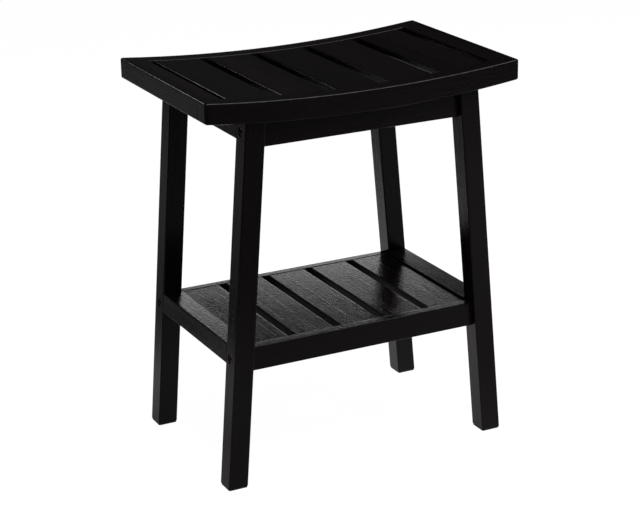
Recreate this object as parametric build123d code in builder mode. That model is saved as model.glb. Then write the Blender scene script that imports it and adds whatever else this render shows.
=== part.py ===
from build123d import *
import os
from math import cos, radians, sin, sqrt, tan

# A slatted stool in lacquered bamboo: a saddle seat on two splayed side frames, with a slatted shelf
# between them. X runs along the stool, -Y is the front and Z is up. The origin is on the floor, in
# the middle of the four feet. All sizes are in millimetres.

# Seat panel
seat_length = 402.0
seat_depth = 252.0
seat_height = 471.0
seat_top_sag = 10.6
seat_under_sag = 12.3
seat_rail_height = 24.2
seat_rail_thickness = 22.5
seat_end_rail_width = 27.5
seat_corner_radius = 4.0
seat_edge_radius = 2.0
seat_inner_edge_radius = 1.0

# Slats of the seat and of the shelf
slat_count = 5
seat_slat_thickness = 8.0
shelf_slat_thickness = 13.5
seat_slat_edge_radius = 1.6
shelf_slat_edge_radius = 1.5
slat_recess = 0.4
slat_end_radius = 0.6
seat_slat_gap = 11.0
seat_end_gap = 8.0
shelf_slat_gap = 9.5
shelf_side_clearance = 0.8

# Tenons on the slat ends
tenon_shoulder = 6.0
tenon_thickness = 4.0
tenon_length = 5.0
tenon_clearance = 0.15

# Side frames: two legs each, with a short apron and a short shelf rail between them
foot_inset = 15.1
splay_angle = 4.68
leg_width = 24.7
leg_depth = 24.7
leg_inset = 7.2
leg_edge_radius = 1.5
foot_edge_radius = 1.0
end_apron_drop = 29.3
end_apron_width = 23.0
shelf_end_rise = 4.0
shelf_end_height = 24.2
shelf_end_width = 26.3
end_rail_edge_radius = 1.0
seating_gap = 0.05

# Long boards: aprons under the seat, and the rails of the shelf
board_thickness = 12.0
board_inset = 7.9
board_edge_radius = 1.5
apron_drop = 38.9
apron_lip_clearance = 0.25
shelf_height = 171.7
shelf_rail_height = 29.9

# Non-slip pads under the legs
pad_thickness = 1.5
pad_margin = 0.6
pad_corner_radius = 1.5

# Bolts through the legs, each drawing on a cross nut in the end of a long board
bolt_radius = 3.0
bolt_length = 50.0
bolt_head_radius = 5.0
bolt_head_height = 6.0
bolt_head_edge = 0.5
bolt_socket_radius = 2.9
bolt_socket_depth = 3.5
bolt_recess = 1.0
bolt_clearance = 0.2
bolt_recess_clearance = 0.5
apron_bolt_rise = 19.8
shelf_bolt_rise = 17.9
nut_radius = 5.0
nut_length = 10.0
nut_tip_margin = 9.0
nut_slot_width = 1.2
nut_slot_depth = 1.2
nut_clearance = 0.1

# Dowels
dowel_radius = 3.0
dowel_length = 30.0
dowel_in_rail = 16.0
dowel_end_chamfer = 0.8
dowel_clearance = 0.1
dowel_from_leg_inside = 4.6
dowel_spacing = 7.5
apron_dowel_rise = 8.8
shelf_dowel_rise = 10.0
seat_dowel_spacing = 10.0

# Screws that hold the seat to the long aprons
screw_radius = 1.75
screw_head_radius = 3.5
screw_head_height = 2.2
screw_length = 20.0
screw_point_length = 4.0
screw_point_radius = 0.3
screw_spacing = 75.0
screw_rise = 7.5
screw_clearance = 0.1
screw_slot_width = 0.9
screw_slot_depth = 0.9

# Places that follow from the sizes above
seat_half_length = seat_length / 2
seat_half_depth = seat_depth / 2
rail_inner_y = seat_half_depth - seat_rail_thickness
seat_inner_half = seat_half_length - seat_end_rail_width
seat_top_middle = seat_height - seat_top_sag
seat_under_end = seat_height - seat_rail_height
seat_under_middle = seat_under_end - seat_under_sag
leg_outer_y = seat_half_depth - leg_inset
leg_inner_y = leg_outer_y - leg_depth
board_outer_y = leg_outer_y - board_inset
board_inner_y = board_outer_y - board_thickness
bolt_y = (board_outer_y + board_inner_y) / 2
lip_thickness = rail_inner_y - board_inner_y
apron_low = seat_under_end - apron_drop
end_apron_low = seat_under_end - end_apron_drop
shelf_low = shelf_height - shelf_rail_height
shelf_end_top = shelf_height + shelf_end_rise
apron_bolt_height = apron_low + apron_bolt_rise
shelf_bolt_height = shelf_low + shelf_bolt_rise
bolt_seat = bolt_recess + bolt_head_height
bolt_tip = bolt_seat + bolt_length
nut_distance = bolt_tip - nut_tip_margin
foot_half = seat_half_length - foot_inset
lean = radians(splay_angle)
sides = {"left": -1, "right": 1}
ends = {"front": -1, "rear": 1}
both_ways = (-1, 1)
from_base = (Align.CENTER, Align.CENTER, Align.MIN)


def arc_radius(sag):
    # radius of an arc over the seat's length that sinks by the sag in the middle
    return (seat_half_length**2 + sag**2) / (2 * sag)


def seat_top(x):
    radius = arc_radius(seat_top_sag)
    return seat_top_middle + radius - sqrt(radius**2 - x**2)


def seat_under(x):
    radius = arc_radius(seat_under_sag)
    return seat_under_middle + radius - sqrt(radius**2 - x**2)


def seat_slope(x):
    return x / sqrt(arc_radius(seat_top_sag) ** 2 - x**2)


def leg_line(z, inset=0.0):
    # distance from the middle to a line that leans with the legs, set in from their outer faces
    return foot_half - tan(lean) * z - inset / cos(lean)


def between_legs(low, high):
    # outline of a long board, its ends cut to the inner faces of the legs
    return [
        (-leg_line(low, leg_width), low),
        (-leg_line(high, leg_width), high),
        (leg_line(high, leg_width), high),
        (leg_line(low, leg_width), low),
    ]


def side_plane(side, y=0.0):
    # plane of a side frame: its x goes in from the outer faces of the legs, its y goes up them
    return Plane(
        origin=(side * foot_half, y, 0),
        x_dir=(-side * cos(lean), 0, -sin(lean)),
        z_dir=(0, side, 0),
    )


def bolt_plane(side, way, height):
    # plane on a leg's outer face that looks in along the bolt
    return Plane(
        origin=(side * leg_line(height), way * bolt_y, height),
        x_dir=(0, 1, 0),
        z_dir=(-side * cos(lean), 0, -sin(lean)),
    )


def outward_plane(way, x, y, z):
    # upright plane in the front or rear half that looks away from the middle
    return Plane(origin=(x, way * y, z), x_dir=(1, 0, 0), z_dir=(0, way, 0))


def upright_plane(way, outer_y, thickness):
    # plane from which a board of this thickness, extruded to -Y, has its outer face at outer_y
    return Plane.XZ.offset(-outer_y if way > 0 else outer_y - thickness)


def write(part, name):
    part.label = name
    export_step(part, f"parts/{name}.step")


# Slat widths and planes; each plane lies on the middle of a slat's top
seat_slat_width = (2 * (seat_inner_half - seat_end_gap) - (slat_count - 1) * seat_slat_gap) / slat_count
shelf_half = leg_line(shelf_height, shelf_end_width) - shelf_side_clearance
shelf_slat_width = (2 * shelf_half - (slat_count - 1) * shelf_slat_gap) / slat_count
seat_slat_places = []
shelf_slat_places = []
for index in range(slat_count):
    step = index - (slat_count - 1) / 2
    x = step * (seat_slat_width + seat_slat_gap)
    slope = seat_slope(x)
    seat_slat_places.append(
        Plane(origin=(x, 0, seat_top(x) - slat_recess), x_dir=(1, 0, slope), z_dir=(-slope, 0, 1))
    )
    x = step * (shelf_slat_width + shelf_slat_gap)
    shelf_slat_places.append(Plane(origin=(x, 0, shelf_height - slat_recess)))

# The end aprons reach up to the underside of the outermost slats
outer_slat = seat_slat_places[-1].origin
outer_slope = seat_slope(outer_slat.X)
slat_under_z = outer_slat.Z - seat_slat_thickness * sqrt(1 + outer_slope**2) - seating_gap
end_apron_top = (slat_under_z + outer_slope * (foot_half - outer_slat.X)) / (1 + outer_slope * tan(lean))

# Where the bolts, dowels and screws go
bolt_places = [
    (side, way, height)
    for side in both_ways
    for way in both_ways
    for height in (apron_bolt_height, shelf_bolt_height)
]
seat_dowel_places = []
side_dowel_places = []
for side in both_ways:
    for way in both_ways:
        for turn in both_ways:
            x = side * (seat_half_length - seat_end_rail_width / 2) + turn * seat_dowel_spacing / 2
            z = (seat_top(x) + seat_under(x)) / 2
            seat_dowel_places.append(outward_plane(way, x, rail_inner_y - dowel_in_rail, z))
        for height, rise in ((apron_bolt_height, apron_dowel_rise), (shelf_bolt_height, shelf_dowel_rise)):
            for inset in (0, dowel_spacing):
                spot = side_plane(side).from_local_coords(
                    (leg_width - dowel_from_leg_inside - inset, height / cos(lean) + rise)
                )
                side_dowel_places.append(outward_plane(way, spot.X, leg_inner_y - dowel_in_rail, spot.Z))
screw_places = [
    outward_plane(way, x, board_inner_y, seat_under(x) + screw_rise)
    for way in both_ways
    for x in (-screw_spacing, 0, screw_spacing)
]


# What is cut out of the boards for tenons, bolts, nuts, dowels and screws
def mortises(places, slat_width, slat_thickness, face_y):
    with BuildPart() as slots:
        with Locations(*[place.offset(-slat_thickness / 2) for place in places]):
            Box(
                slat_width - 2 * tenon_shoulder + 2 * tenon_clearance,
                2 * (face_y + tenon_length + tenon_clearance),
                tenon_thickness + 2 * tenon_clearance,
            )
    return slots.part


seat_mortises = mortises(seat_slat_places, seat_slat_width, seat_slat_thickness, rail_inner_y)
shelf_mortises = mortises(shelf_slat_places, shelf_slat_width, shelf_slat_thickness, board_inner_y)

with BuildPart() as bolt_holes:
    with Locations(*[bolt_plane(*place) for place in bolt_places]):
        Cylinder(bolt_radius + bolt_clearance, bolt_tip + bolt_clearance, align=from_base)
        Cylinder(bolt_head_radius + bolt_recess_clearance, bolt_seat, align=from_base)

with BuildPart() as nut_holes:
    for side, way, height in bolt_places:
        nut = bolt_plane(side, way, height).offset(nut_distance).origin
        with Locations(outward_plane(way, nut.X, board_inner_y, nut.Z)):
            Cylinder(
                nut_radius + nut_clearance,
                (board_thickness + nut_length) / 2 + nut_clearance,
                align=from_base,
            )

with BuildPart() as dowel_holes:
    with Locations(*[place.offset(-dowel_clearance) for place in seat_dowel_places + side_dowel_places]):
        Cylinder(dowel_radius + dowel_clearance, dowel_length + 2 * dowel_clearance, align=from_base)

with BuildPart() as screw_holes:
    with Locations(*screw_places):
        Cylinder(screw_radius + screw_clearance, screw_length + screw_clearance, align=from_base)
        Cone(
            screw_head_radius + screw_clearance,
            screw_radius + screw_clearance,
            screw_head_height,
            align=from_base,
        )

# Side view of the seat's frame, between its two arcs
with BuildSketch(Plane.XZ) as seat_side_view:
    with BuildLine():
        top_arc = ThreePointArc(
            (-seat_half_length, seat_height), (0, seat_top_middle), (seat_half_length, seat_height)
        )
        under_arc = ThreePointArc(
            (seat_half_length, seat_under_end), (0, seat_under_middle), (-seat_half_length, seat_under_end)
        )
        Line(top_arc @ 1, under_arc @ 0)
        Line(under_arc @ 1, top_arc @ 0)
    make_face()


def above_arc(end_z, middle_z):
    # everything above an arc over the seat's length, used to trim what stands below the seat
    with BuildSketch(Plane.XZ) as above:
        with BuildLine():
            arc = ThreePointArc((-seat_half_length, end_z), (0, middle_z), (seat_half_length, end_z))
            Polyline(
                arc @ 1, (seat_half_length, 2 * seat_height), (-seat_half_length, 2 * seat_height), arc @ 0
            )
        make_face()
    return above.sketch_local


above_rail_underside = above_arc(seat_under_end - seating_gap, seat_under_middle - seating_gap)
lip_drop = slat_recess + seat_slat_thickness + apron_lip_clearance
above_slat_underside = above_arc(seat_height - lip_drop, seat_top_middle - lip_drop)


def seat_long_rail(name, way):
    with BuildPart() as rail:
        with BuildSketch(upright_plane(way, seat_half_depth, seat_rail_thickness)):
            add(seat_side_view.sketch_local)
        extrude(amount=seat_rail_thickness)
        corners = rail.edges().filter_by(Axis.Z).group_by(Axis.Y)
        fillet(corners[-1 if way > 0 else 0], radius=seat_corner_radius)
        # the bent top and underside are the two largest curved faces
        bent = rail.faces().filter_by(GeomType.CYLINDER).sort_by(SortBy.AREA)[-2:]
        outline = ShapeList([edge for face in bent for edge in face.edges()])
        fillet(
            outline.filter_by(lambda edge: abs(edge.center().Y) > rail_inner_y + seat_inner_edge_radius),
            radius=seat_edge_radius,
        )
        inner_arcs = rail.edges().filter_by(GeomType.CIRCLE).filter_by(
            lambda edge: abs(edge.center().Y) < rail_inner_y + seat_inner_edge_radius / 2
        )
        fillet(inner_arcs.sort_by(Axis.Z)[-1], radius=seat_inner_edge_radius)
        add([seat_mortises, dowel_holes.part, screw_holes.part], mode=Mode.SUBTRACT)
    write(rail.part, name)


def seat_end_rail(name, side):
    with BuildPart() as rail:
        with BuildSketch(Plane.XZ.offset(-rail_inner_y)) as section:
            add(seat_side_view.sketch_local)
            with Locations((side * (seat_half_length - seat_end_rail_width / 2), seat_height)):
                Rectangle(seat_end_rail_width, seat_height, mode=Mode.INTERSECT)
            columns = section.vertices().group_by(Axis.X)
            outer = columns[-1 if side > 0 else 0]
            inner_top = columns[0 if side > 0 else -1].sort_by(Axis.Y)[-1]
            fillet(outer, radius=seat_edge_radius)
            fillet(inner_top, radius=seat_inner_edge_radius)
        extrude(amount=2 * rail_inner_y)
        add(dowel_holes.part, mode=Mode.SUBTRACT)
    write(rail.part, name)


def slat(name, place, width, span, thickness, edge_radius):
    # slat with rounded edges and a stub tenon at each end
    with BuildPart() as piece:
        with BuildSketch(place):
            Rectangle(width, span)
        extrude(amount=-thickness)
        fillet(piece.edges().filter_by(Axis.Y), radius=edge_radius)
        fillet(piece.faces().filter_by(Axis.Y).edges(), radius=slat_end_radius)
        with Locations(place.offset(-thickness / 2)):
            Box(width - 2 * tenon_shoulder, span + 2 * tenon_length, tenon_thickness)
    write(piece.part, name)


def leg(name, side, way):
    with BuildPart() as post:
        with BuildSketch(upright_plane(way, leg_outer_y, leg_depth)):
            with BuildLine():
                Polyline(
                    (side * leg_line(pad_thickness), pad_thickness),
                    (side * leg_line(seat_height), seat_height),
                    (side * leg_line(seat_height, leg_width), seat_height),
                    (side * leg_line(pad_thickness, leg_width), pad_thickness),
                    close=True,
                )
            make_face()
            add(above_rail_underside, mode=Mode.SUBTRACT)
        extrude(amount=leg_depth)
        fillet(post.edges().sort_by(SortBy.LENGTH)[-4:], radius=leg_edge_radius)
        fillet(post.faces().sort_by(Axis.Z)[0].edges(), radius=foot_edge_radius)
        add([bolt_holes.part, dowel_holes.part], mode=Mode.SUBTRACT)
    write(post.part, name)


def frame_rail(name, side, width, low, high):
    # short rail between the legs of a side frame, square to them, with the outer faces in line
    with BuildPart() as rail:
        with BuildSketch(side_plane(side)):
            with Locations((width / 2, (low + high) / 2 / cos(lean))):
                RectangleRounded(width, (high - low) / cos(lean), end_rail_edge_radius)
        extrude(amount=leg_inner_y, both=True)
        add(dowel_holes.part, mode=Mode.SUBTRACT)
    write(rail.part, name)


def long_apron(name, way):
    # board under the seat rail, with a lip behind that rail that rises to the slats
    with BuildPart() as board:
        with BuildSketch(upright_plane(way, board_outer_y, board_thickness)):
            with BuildLine():
                Polyline(*between_legs(apron_low, seat_height), close=True)
            make_face()
            add(above_rail_underside, mode=Mode.SUBTRACT)
        extrude(amount=board_thickness)
        fillet(board.edges().filter_by(Axis.X).group_by(Axis.Z)[0], radius=board_edge_radius)
        with BuildSketch(upright_plane(way, rail_inner_y, lip_thickness)):
            with BuildLine():
                Polyline(*between_legs(apron_bolt_height, seat_height), close=True)
            make_face()
            add(above_slat_underside, mode=Mode.SUBTRACT)
        extrude(amount=lip_thickness)
        add([bolt_holes.part, nut_holes.part, screw_holes.part], mode=Mode.SUBTRACT)
    write(board.part, name)


def shelf_long_rail(name, way):
    with BuildPart() as board:
        with BuildSketch(upright_plane(way, board_outer_y, board_thickness)):
            with BuildLine():
                Polyline(*between_legs(shelf_low, shelf_height), close=True)
            make_face()
        extrude(amount=board_thickness)
        fillet(board.edges().filter_by(Axis.X), radius=board_edge_radius)
        add([shelf_mortises, bolt_holes.part, nut_holes.part], mode=Mode.SUBTRACT)
    write(board.part, name)


os.makedirs("parts", exist_ok=True)

for number, place in enumerate(seat_slat_places, start=1):
    name = f"seat_slat_{number}"
    slat(name, place, seat_slat_width, 2 * rail_inner_y, seat_slat_thickness, seat_slat_edge_radius)
for number, place in enumerate(shelf_slat_places, start=1):
    name = f"shelf_slat_{number}"
    slat(name, place, shelf_slat_width, 2 * board_inner_y, shelf_slat_thickness, shelf_slat_edge_radius)
for end, way in ends.items():
    seat_long_rail(f"seat_{end}_rail", way)
    long_apron(f"{end}_apron", way)
    shelf_long_rail(f"shelf_{end}_rail", way)
    for side_name, side in sides.items():
        leg(f"leg_{end}_{side_name}", side, way)
for side_name, side in sides.items():
    seat_end_rail(f"seat_{side_name}_end_rail", side)
    frame_rail(f"{side_name}_apron", side, end_apron_width, end_apron_low, end_apron_top)
    frame_rail(
        f"shelf_{side_name}_end_rail", side, shelf_end_width, shelf_end_top - shelf_end_height, shelf_end_top
    )

with BuildPart() as foot_pads:
    foot_x = leg_line(pad_thickness, leg_width / 2)
    foot_y = (leg_outer_y + leg_inner_y) / 2
    with GridLocations(2 * foot_x, 2 * foot_y, 2, 2):
        Box(leg_width - 2 * pad_margin, leg_depth - 2 * pad_margin, pad_thickness, align=from_base)
    fillet(foot_pads.edges().filter_by(Axis.Z), radius=pad_corner_radius)
write(foot_pads.part, "foot_pads")

with BuildPart() as frame_bolts:
    with Locations(*[bolt_plane(*place).offset(bolt_recess) for place in bolt_places]):
        Cylinder(bolt_head_radius, bolt_head_height, align=from_base)
        Cylinder(bolt_radius, bolt_head_height + bolt_length, align=from_base)
    rims = frame_bolts.edges().filter_by(GeomType.CIRCLE).filter_by(
        lambda edge: edge.radius > bolt_radius
    )
    fillet(rims, radius=bolt_head_edge)
    for place in bolt_places:
        with BuildSketch(bolt_plane(*place).offset(bolt_recess)):
            RegularPolygon(bolt_socket_radius, side_count=6)
        extrude(amount=bolt_socket_depth, mode=Mode.SUBTRACT)
write(frame_bolts.part, "frame_bolts")

with BuildPart() as barrel_nuts:
    for side, way, height in bolt_places:
        nut = bolt_plane(side, way, height).offset(nut_distance).origin
        with Locations(outward_plane(way, nut.X, bolt_y - nut_length / 2, nut.Z)):
            Cylinder(nut_radius, nut_length, align=from_base)
            Box(2 * nut_radius, nut_slot_width, 2 * nut_slot_depth, mode=Mode.SUBTRACT)
        with Locations(bolt_plane(side, way, height)):
            Cylinder(bolt_radius + nut_clearance, bolt_tip, align=from_base, mode=Mode.SUBTRACT)
write(barrel_nuts.part, "barrel_nuts")


def dowels(name, places):
    with BuildPart() as pegs:
        with Locations(*places):
            Cylinder(dowel_radius, dowel_length, align=from_base)
        chamfer(pegs.edges().filter_by(GeomType.CIRCLE), length=dowel_end_chamfer)
    write(pegs.part, name)


dowels("seat_frame_dowels", seat_dowel_places)
dowels("side_frame_dowels", side_dowel_places)

with BuildPart() as apron_screws:
    with Locations(*screw_places):
        Cone(screw_head_radius, screw_radius, screw_head_height, align=from_base)
        Cylinder(screw_radius, screw_length - screw_point_length, align=from_base)
        Box(2 * screw_head_radius, screw_slot_width, 2 * screw_slot_depth, mode=Mode.SUBTRACT)
    with Locations(*[place.offset(screw_length - screw_point_length) for place in screw_places]):
        Cone(screw_radius, screw_point_radius, screw_point_length, align=from_base)
write(apron_screws.part, "apron_screws")
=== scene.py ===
import math

import bpy
import numpy as np
from mathutils import Euler, Matrix, Quaternion, Vector


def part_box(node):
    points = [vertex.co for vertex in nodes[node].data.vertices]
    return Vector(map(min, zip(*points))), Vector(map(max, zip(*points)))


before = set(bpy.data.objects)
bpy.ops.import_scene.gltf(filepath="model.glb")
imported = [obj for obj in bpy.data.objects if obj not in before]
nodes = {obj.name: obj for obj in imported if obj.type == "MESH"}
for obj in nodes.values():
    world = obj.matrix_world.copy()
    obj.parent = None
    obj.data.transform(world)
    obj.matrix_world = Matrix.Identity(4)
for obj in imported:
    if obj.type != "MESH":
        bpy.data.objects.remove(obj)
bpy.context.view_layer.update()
print("frame loaded,", len(nodes), "pieces")


# camera

cameraLook = {
    "place": (-0.99835, -1.97668, 1.00131),
    "heading": 26.7608,  # degrees from +Y towards +X
    "dip": 19.3541,  # degrees below level
    "roll": -1.0086,  # degrees by which its right side tips up
    "lens": 107.89,  # mm
    "sensorWidth": 36,  # mm
    "clip": (0.05, 60),
}


def addCamera(look):
    heading, dip, roll = (math.radians(look[key]) for key in ("heading", "dip", "roll"))
    forward = Vector((math.sin(heading) * math.cos(dip), math.cos(heading) * math.cos(dip), -math.sin(dip)))
    right = Vector((math.cos(heading), -math.sin(heading), 0))
    up = right.cross(forward)
    turnedRight = right * math.cos(roll) + up * math.sin(roll)
    turnedUp = up * math.cos(roll) - right * math.sin(roll)
    data = bpy.data.cameras.new("camera")
    data.lens = look["lens"]
    data.sensor_width = look["sensorWidth"]
    data.clip_start, data.clip_end = look["clip"]
    camera = bpy.data.objects.new("camera", data)
    axes = Matrix((turnedRight, turnedUp, -forward)).transposed().to_4x4()
    camera.matrix_world = Matrix.Translation(look["place"]) @ axes
    bpy.context.collection.objects.link(camera)
    bpy.context.scene.camera = camera


addCamera(cameraLook)
print("camera set")


# node helpers

def startMaterial(name):
    material = bpy.data.materials.new(name)
    material.use_nodes = True
    tree = material.node_tree
    tree.nodes.clear()
    return material, tree


def addNode(tree, kind, values=None, **settings):
    # one node; values go to its sockets, and a value that is a socket is linked in
    node = tree.nodes.new("ShaderNode" + kind)
    for key, value in settings.items():
        setattr(node, key, value)
    for key, value in (values or {}).items():
        if isinstance(value, bpy.types.NodeSocket):
            tree.links.new(value, node.inputs[key])
        else:
            node.inputs[key].default_value = value
    return node


def calculate(tree, operation, first, second=0.0, third=0.0):
    return addNode(tree, "Math", {0: first, 1: second, 2: third}, operation=operation).outputs[0]


def weigh(tree, values, weights):
    # the sum of the named values, each times its weight
    total = 0.0
    for key, weight in weights.items():
        total = calculate(tree, "MULTIPLY_ADD", values[key], weight, total)
    return total


def spread(tree, value, old, new):
    # carries the range old onto the range new, and holds the ends beyond it
    return addNode(
        tree, "MapRange",
        {"Value": value, "From Min": old[0], "From Max": old[1], "To Min": new[0], "To Max": new[1]},
    ).outputs["Result"]


def objectPlace(tree):
    return addNode(tree, "TexCoord").outputs["Object"]


def addNoise(tree, where, scale, detail, roughness, distortion=0.0):
    return addNode(
        tree, "TexNoise",
        {"Vector": where, "Scale": scale, "Detail": detail, "Roughness": roughness, "Distortion": distortion},
    ).outputs["Fac"]


def blend(tree, share, first, second):
    return addNode(tree, "Mix", {"Factor": share, 6: first, 7: second}, data_type="RGBA").outputs[2]


def addRelief(tree, height, depth, under=None, sunk=False):
    values = {"Strength": 1.0, "Distance": depth, "Height": height}
    if under:
        values["Normal"] = under
    return addNode(tree, "Bump", values, invert=sunk).outputs["Normal"]


def finishMaterial(tree, values):
    shader = addNode(tree, "BsdfPrincipled", values)
    addNode(tree, "OutputMaterial", {"Surface": shader.outputs["BSDF"]})


# black lacquer over laminated bamboo

lacquer = {
    "ink": (0.0011, 0.00095, 0.001, 1),  # the darkest tone of the stain
    "umber": (0.0062, 0.0041, 0.0043, 1),  # where the stain is thin
    "strip": 0.0215,  # width of one bamboo strip, metres
    "stretch": 26.0,  # how much longer than wide the grain is
    "patterns": {
        # scale per metre, detail, roughness and distortion of the noise
        "grain": (900.0, 6.0, 0.62, 0.25),
        "fibre": (2600.0, 3.0, 0.5),
        "streak": (260.0, 4.0, 0.6),
        "mottle": (330.0, 3.0, 0.55),
        "peel": (170.0, 2.0, 0.45),  # the dimples of the lacquer
        "cloud": (60.0, 4.0, 0.55),
        "handling": (21.0, 5.0, 0.6),  # where hands have dulled it
    },
    "drawnOut": ("grain", "fibre", "streak", "cloud"),  # the patterns that run along the grain
    "patternShift": 1.37,  # metres from the pattern of one board to that of the next
    "stripShift": 0.31,  # the same for the seams, in strips
    "seamDepth": 0.00002,  # metres, as all depths
    "depths": {"grain": 0.00009, "fibre": 0.00005, "streak": 0.00014, "mottle": 0.0002, "peel": 0.00008},
    "thinning": {"strip": 0.3, "grain": 0.5, "cloud": 0.2, "streak": 0.25},
    "thinRange": (0.35, 0.95),  # from ink to umber
    "dulling": {"mottle": 0.3, "streak": 0.45, "handling": 0.25},
    "dullRange": (0.38, 0.62),  # from the low roughness to the high one
    "rough": (0.09, 0.26),
    "seamStart": 0.47,  # where a seam begins, in strips from the middle of a strip
    "seamRough": 0.1,
    "sideRough": 0.5,  # added on the narrow sides of a shelf slat, which are less polished
    "sideFade": (0.0006, 0.0001),  # metres inside the slat's side where that begins and where it is full
    "ior": 1.27,
}


def blackLacquer(name, turn, centre, seed, look, halfWidth=None):
    # turn brings the board's grain onto the pattern's x, its width onto y and its thickness onto z
    material, tree = startMaterial(name)
    rotation = Euler([math.radians(angle) for angle in turn], "XYZ")
    place = -(rotation.to_matrix() @ centre)
    board = addNode(
        tree, "Mapping", {"Vector": objectPlace(tree), "Location": place, "Rotation": rotation}
    ).outputs["Vector"]
    axes = addNode(tree, "SeparateXYZ", {"Vector": board}).outputs
    drawn = addNode(
        tree, "CombineXYZ",
        {
            "X": calculate(tree, "DIVIDE", axes["X"], look["stretch"]),
            "Y": calculate(tree, "ADD", axes["Y"], seed * look["patternShift"]),
            "Z": axes["Z"],
        },
    ).outputs["Vector"]
    patterns = {
        key: addNoise(tree, drawn if key in look["drawnOut"] else board, *noise)
        for key, noise in look["patterns"].items()
    }

    # strips lie side by side across the board, each with a tone of its own
    across = calculate(tree, "DIVIDE", axes["Y"], look["strip"])
    across = calculate(tree, "ADD", across, seed * look["stripShift"])
    stripNumber = calculate(tree, "FLOOR", across)
    patterns["strip"] = addNode(
        tree, "TexWhiteNoise", {"W": calculate(tree, "ADD", stripNumber, seed)}, noise_dimensions="1D"
    ).outputs["Value"]
    fromMiddle = calculate(tree, "SUBTRACT", calculate(tree, "FRACT", across), 0.5)
    seam = spread(tree, calculate(tree, "ABSOLUTE", fromMiddle), (look["seamStart"], 0.5), (0.0, 1.0))

    thin = weigh(tree, patterns, look["thinning"])
    stain = blend(tree, spread(tree, thin, look["thinRange"], (0.0, 1.0)), look["ink"], look["umber"])

    rough = spread(tree, weigh(tree, patterns, look["dulling"]), look["dullRange"], look["rough"])
    rough = calculate(tree, "MULTIPLY_ADD", seam, look["seamRough"], rough)
    if halfWidth:
        sides = [halfWidth - depth for depth in look["sideFade"]]
        side = spread(tree, calculate(tree, "ABSOLUTE", axes["Y"]), sides, (0.0, look["sideRough"]))
        rough = calculate(tree, "ADD", rough, side)

    normal = addRelief(tree, seam, look["seamDepth"], sunk=True)
    for key, depth in look["depths"].items():
        normal = addRelief(tree, patterns[key], depth, normal)

    finishMaterial(tree, {"Base Color": stain, "Roughness": rough, "IOR": look["ior"], "Normal": normal})
    return material


splay = 4.68  # degrees that the legs lean outwards
alongX = (0, 0, 0)
alongY = (0, 0, -90)
alongLeftLeg = (0, 90 - splay, 0)
alongRightLeg = (0, 90 + splay, 0)
grainOfBoards = {
    "seat_front_rail": alongX,
    "seat_rear_rail": alongX,
    "seat_left_end_rail": alongY,
    "seat_right_end_rail": alongY,
    "front_apron": alongX,
    "rear_apron": alongX,
    "left_apron": alongY,
    "right_apron": alongY,
    "shelf_front_rail": alongX,
    "shelf_rear_rail": alongX,
    "shelf_left_end_rail": alongY,
    "shelf_right_end_rail": alongY,
    "leg_front_left": alongLeftLeg,
    "leg_rear_left": alongLeftLeg,
    "leg_front_right": alongRightLeg,
    "leg_rear_right": alongRightLeg,
}
for number in range(1, 6):
    grainOfBoards[f"seat_slat_{number}"] = alongY
    grainOfBoards[f"shelf_slat_{number}"] = alongY


def dress(node, material):
    nodes[node].data.materials.clear()
    nodes[node].data.materials.append(material)


for seed, (node, turn) in enumerate(grainOfBoards.items(), start=1):
    low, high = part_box(node)
    halfWidth = (high - low).x / 2 if node.startswith("shelf_slat") else None
    dress(node, blackLacquer(node + "_lacquer", turn, (low + high) / 2, seed, lacquer, halfWidth))
print("lacquer on", len(grainOfBoards), "boards")


# hardware, pads and dowels: one noise blends two colours and sets the roughness, over a fine relief

boltBronze = {
    "colours": ((0.11, 0.065, 0.035, 1), (0.2, 0.13, 0.08, 1)),  # plain, worn
    "pattern": (420.0, 5.0, 0.6),  # scale per metre, detail and roughness of the noise
    "blendRange": (0.35, 0.7),  # from the first colour to the second
    "roughRange": (0.3, 0.7),  # from the low roughness to the high one
    "rough": (0.26, 0.44),
    "scratch": (2300.0, 2.0, 0.5),  # a noise of its own for the relief
    "depth": 0.00002,  # metres
    "surface": {"Metallic": 1.0},
}
zincPlate = {
    **boltBronze,
    "colours": ((0.5, 0.5, 0.48, 1), (0.66, 0.66, 0.65, 1)),
    "rough": (0.22, 0.4),
}
padRubber = {
    "colours": ((0.016, 0.016, 0.017, 1), (0.03, 0.03, 0.031, 1)),  # plain, pale
    "pattern": (1500.0, 4.0, 0.7),
    "blendRange": (0.4, 0.7),
    "roughRange": (0.3, 0.7),
    "rough": (0.68, 0.88),
    "depth": 0.00005,
    "surface": {"IOR": 1.45},
}
dowelWood = {
    "colours": ((0.62, 0.45, 0.28, 1), (0.42, 0.28, 0.16, 1)),  # pale, dark
    "pattern": (1400.0, 5.0, 0.6),
    "drawn": (1, 0.06, 1),  # the grain runs along Y
    "blendRange": (0.35, 0.7),
    "roughRange": (0.3, 0.7),
    "rough": (0.6, 0.8),
    "depth": 0.00006,
    "surface": {"IOR": 1.45},
}


def plainFinish(name, look):
    material, tree = startMaterial(name)
    where = objectPlace(tree)
    if "drawn" in look:
        where = addNode(tree, "Mapping", {"Vector": where, "Scale": look["drawn"]}).outputs["Vector"]
    pattern = addNoise(tree, where, *look["pattern"])
    height = addNoise(tree, where, *look["scratch"]) if "scratch" in look else pattern
    share = spread(tree, pattern, look["blendRange"], (0.0, 1.0))
    finishMaterial(
        tree,
        {
            "Base Color": blend(tree, share, *look["colours"]),
            "Roughness": spread(tree, pattern, look["roughRange"], look["rough"]),
            "Normal": addRelief(tree, height, look["depth"]),
            **look["surface"],
        },
    )
    return material


dress("frame_bolts", plainFinish("bolt_bronze", boltBronze))
zinc = plainFinish("zinc_plate", zincPlate)
dress("barrel_nuts", zinc)
dress("apron_screws", zinc)
dress("foot_pads", plainFinish("pad_rubber", padRubber))
dowelFinish = plainFinish("dowel_wood", dowelWood)
dress("seat_frame_dowels", dowelFinish)
dress("side_frame_dowels", dowelFinish)
print("hardware, pads and dowels dressed")


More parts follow.
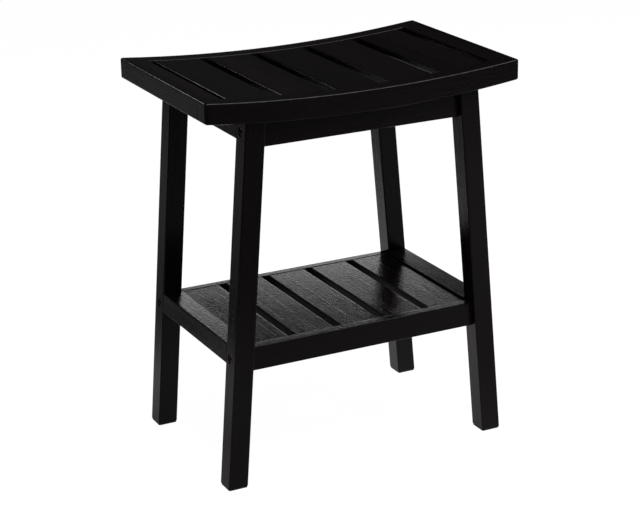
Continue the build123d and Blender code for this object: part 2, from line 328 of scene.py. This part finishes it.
# floor, surroundings and lamps

white = (1, 1, 1, 1)
studio = {
    "floorSize": 30.0,
    "floorTone": (0.45, 0.45, 0.44, 1),
    "floorGlow": 1.14,  # what the camera sees in place of most of the floor's own light
    "glowShare": 0.86,
    # painted light: this tint and the pools below glow only for glossy rays, so the lacquer shows them as
    # painted reflections
    "paintedPoolTone": (1, 0.95, 0.965, 1),
    "restGlow": 0.052,  # how pale the floor looks in the lacquer, away from the pools
    "paintedLightPools": (
        # x, y, radius where the painted pool of light starts to fade, radius where it ends, glow
        (0.2, 0.3, 0.15, 0.6, 0.76),
        (0.9, -0.5, 0.25, 0.9, 0.49),
        (-0.4, 0.2, 0.05, 0.22, 0.24),
        (-0.7, 1.5, 0.25, 0.9, 0.17),
        (-0.5, -0.4, 0.15, 0.6, 0.42),
        (-0.2, 0.3, 0.05, 0.2, 0.16),
        (0.85, -1.4, 0.15, 0.6, 0.3),
        (0.1, -0.5, 0.1, 0.35, 0.1),
        (0.05, -0.25, 0.1, 0.4, 0.15),
        (0.0, 0.72, 0.15, 0.42, 0.32),
        (-1.45, 0.1, 0.05, 0.3, 1.6),
        (0.2, 1.1, 0.25, 0.9, 0.17),
    ),
    "skyRange": (0.2, 0.34),  # sine of the angle above the horizon: the sky darkens between these
    "skyGlow": (0.028, 0.002),  # below that range and above it
    "backdropGlow": 1.0,  # what the camera sees in its place
}


def addFloor(look):
    # the flat surface (u, v, 0) for u and v over the floor's size
    count = 3
    steps = np.linspace(-look["floorSize"] / 2, look["floorSize"] / 2, count)
    u, v = np.meshgrid(steps, steps, indexing="ij")
    places = np.stack([u, v, np.zeros_like(u)], axis=-1).reshape(-1, 3)
    starts = np.arange(count - 1)
    corner = (starts[:, None] * count + starts[None, :]).reshape(-1)
    faces = np.stack([corner, corner + count, corner + count + 1, corner + 1], axis=1)
    mesh = bpy.data.meshes.new("floor")
    mesh.from_pydata(places.tolist(), [], faces.tolist())
    floor = bpy.data.objects.new("floor", mesh)
    bpy.context.collection.objects.link(floor)

    material, tree = startMaterial("floor_paint")
    light = addNode(tree, "LightPath").outputs
    paint = addNode(tree, "BsdfDiffuse", {"Color": look["floorTone"]}).outputs["BSDF"]
    glow = addNode(tree, "Emission", {"Color": white, "Strength": look["floorGlow"]}).outputs["Emission"]
    share = calculate(tree, "MULTIPLY", light["Is Camera Ray"], look["glowShare"])
    both = addNode(tree, "MixShader", {"Fac": share, 1: paint, 2: glow}).outputs["Shader"]

    # glossy rays see a dark floor with painted pools of light, which the lacquer shows as painted reflections
    where = objectPlace(tree)
    brightness = look["restGlow"]
    for x, y, near, far, amount in look["paintedLightPools"]:
        away = addNode(tree, "VectorMath", {0: where, 1: (x, y, 0)}, operation="DISTANCE").outputs["Value"]
        brightness = calculate(tree, "ADD", spread(tree, away, (near, far), (amount, 0.0)), brightness)
    # painted reflections: this glow of the pools is seen only by glossy rays
    mirrored = addNode(tree, "Emission", {"Color": look["paintedPoolTone"], "Strength": brightness})
    seen = addNode(
        tree, "MixShader", {"Fac": light["Is Glossy Ray"], 1: both, 2: mirrored.outputs["Emission"]}
    ).outputs["Shader"]
    addNode(tree, "OutputMaterial", {"Surface": seen})
    mesh.materials.append(material)


def addSurround(look):
    world = bpy.data.worlds.new("surround")
    world.use_nodes = True
    tree = world.node_tree
    tree.nodes.clear()
    camera = addNode(tree, "LightPath").outputs["Is Camera Ray"]
    upwards = addNode(tree, "TexCoord").outputs["Generated"]
    height = addNode(tree, "SeparateXYZ", {"Vector": upwards}).outputs["Z"]
    glow = spread(tree, height, look["skyRange"], look["skyGlow"])
    dim, bright = (
        addNode(tree, "Background", {"Color": white, "Strength": strength}).outputs["Background"]
        for strength in (glow, look["backdropGlow"])
    )
    both = addNode(tree, "MixShader", {"Fac": camera, 1: dim, 2: bright}).outputs["Shader"]
    addNode(tree, "OutputWorld", {"Surface": both})
    bpy.context.scene.world = world


lamps = {
    "overhead": {
        "place": (0.35, -0.75, 2.2), "aim": (0.1, 0, 0.3), "size": (2.0, 1.7), "radiance": 5.0,
    },
    "backHigh": {  # the seat's left top edge mirrors it
        "place": (-0.415, 0.5, 0.74), "aim": (-0.2, 0, 0.465), "size": (0.27, 0.17), "radiance": 4.0,
    },
    "frontFill": {
        "place": (-1.1, -2.4, 1.5), "aim": (0, 0, 0.25), "size": (1.4, 1.2), "radiance": 3.0,
    },
    "backPanel": {  # the shelf mirrors it
        "place": (0.4, 0.6, 0.177), "aim": (0.33, 0.0, 0.177), "size": (0.7, 0.4), "radiance": 2.4,
        "turn": -5.0,  # degrees about the direction it looks in
    },
}


def addLamp(name, look):
    width, height = look["size"]
    data = bpy.data.lights.new(name, "AREA")
    data.shape = "RECTANGLE"
    data.size, data.size_y = width, height
    data.energy = look["radiance"] * math.pi * width * height  # watts that give this radiance
    lamp = bpy.data.objects.new(name, data)
    place, aim = Vector(look["place"]), Vector(look["aim"])
    lamp.location = place
    turn = Quaternion((0, 0, 1), math.radians(look.get("turn", 0.0)))
    lamp.rotation_euler = ((aim - place).to_track_quat("-Z", "Y") @ turn).to_euler()
    lamp.visible_camera = False
    bpy.context.collection.objects.link(lamp)


addFloor(studio)
addSurround(studio)
for lampName, lampLook in lamps.items():
    addLamp(lampName, lampLook)
bpy.context.scene.view_settings.view_transform = "Standard"
print("floor and", len(lamps), "lamps set")
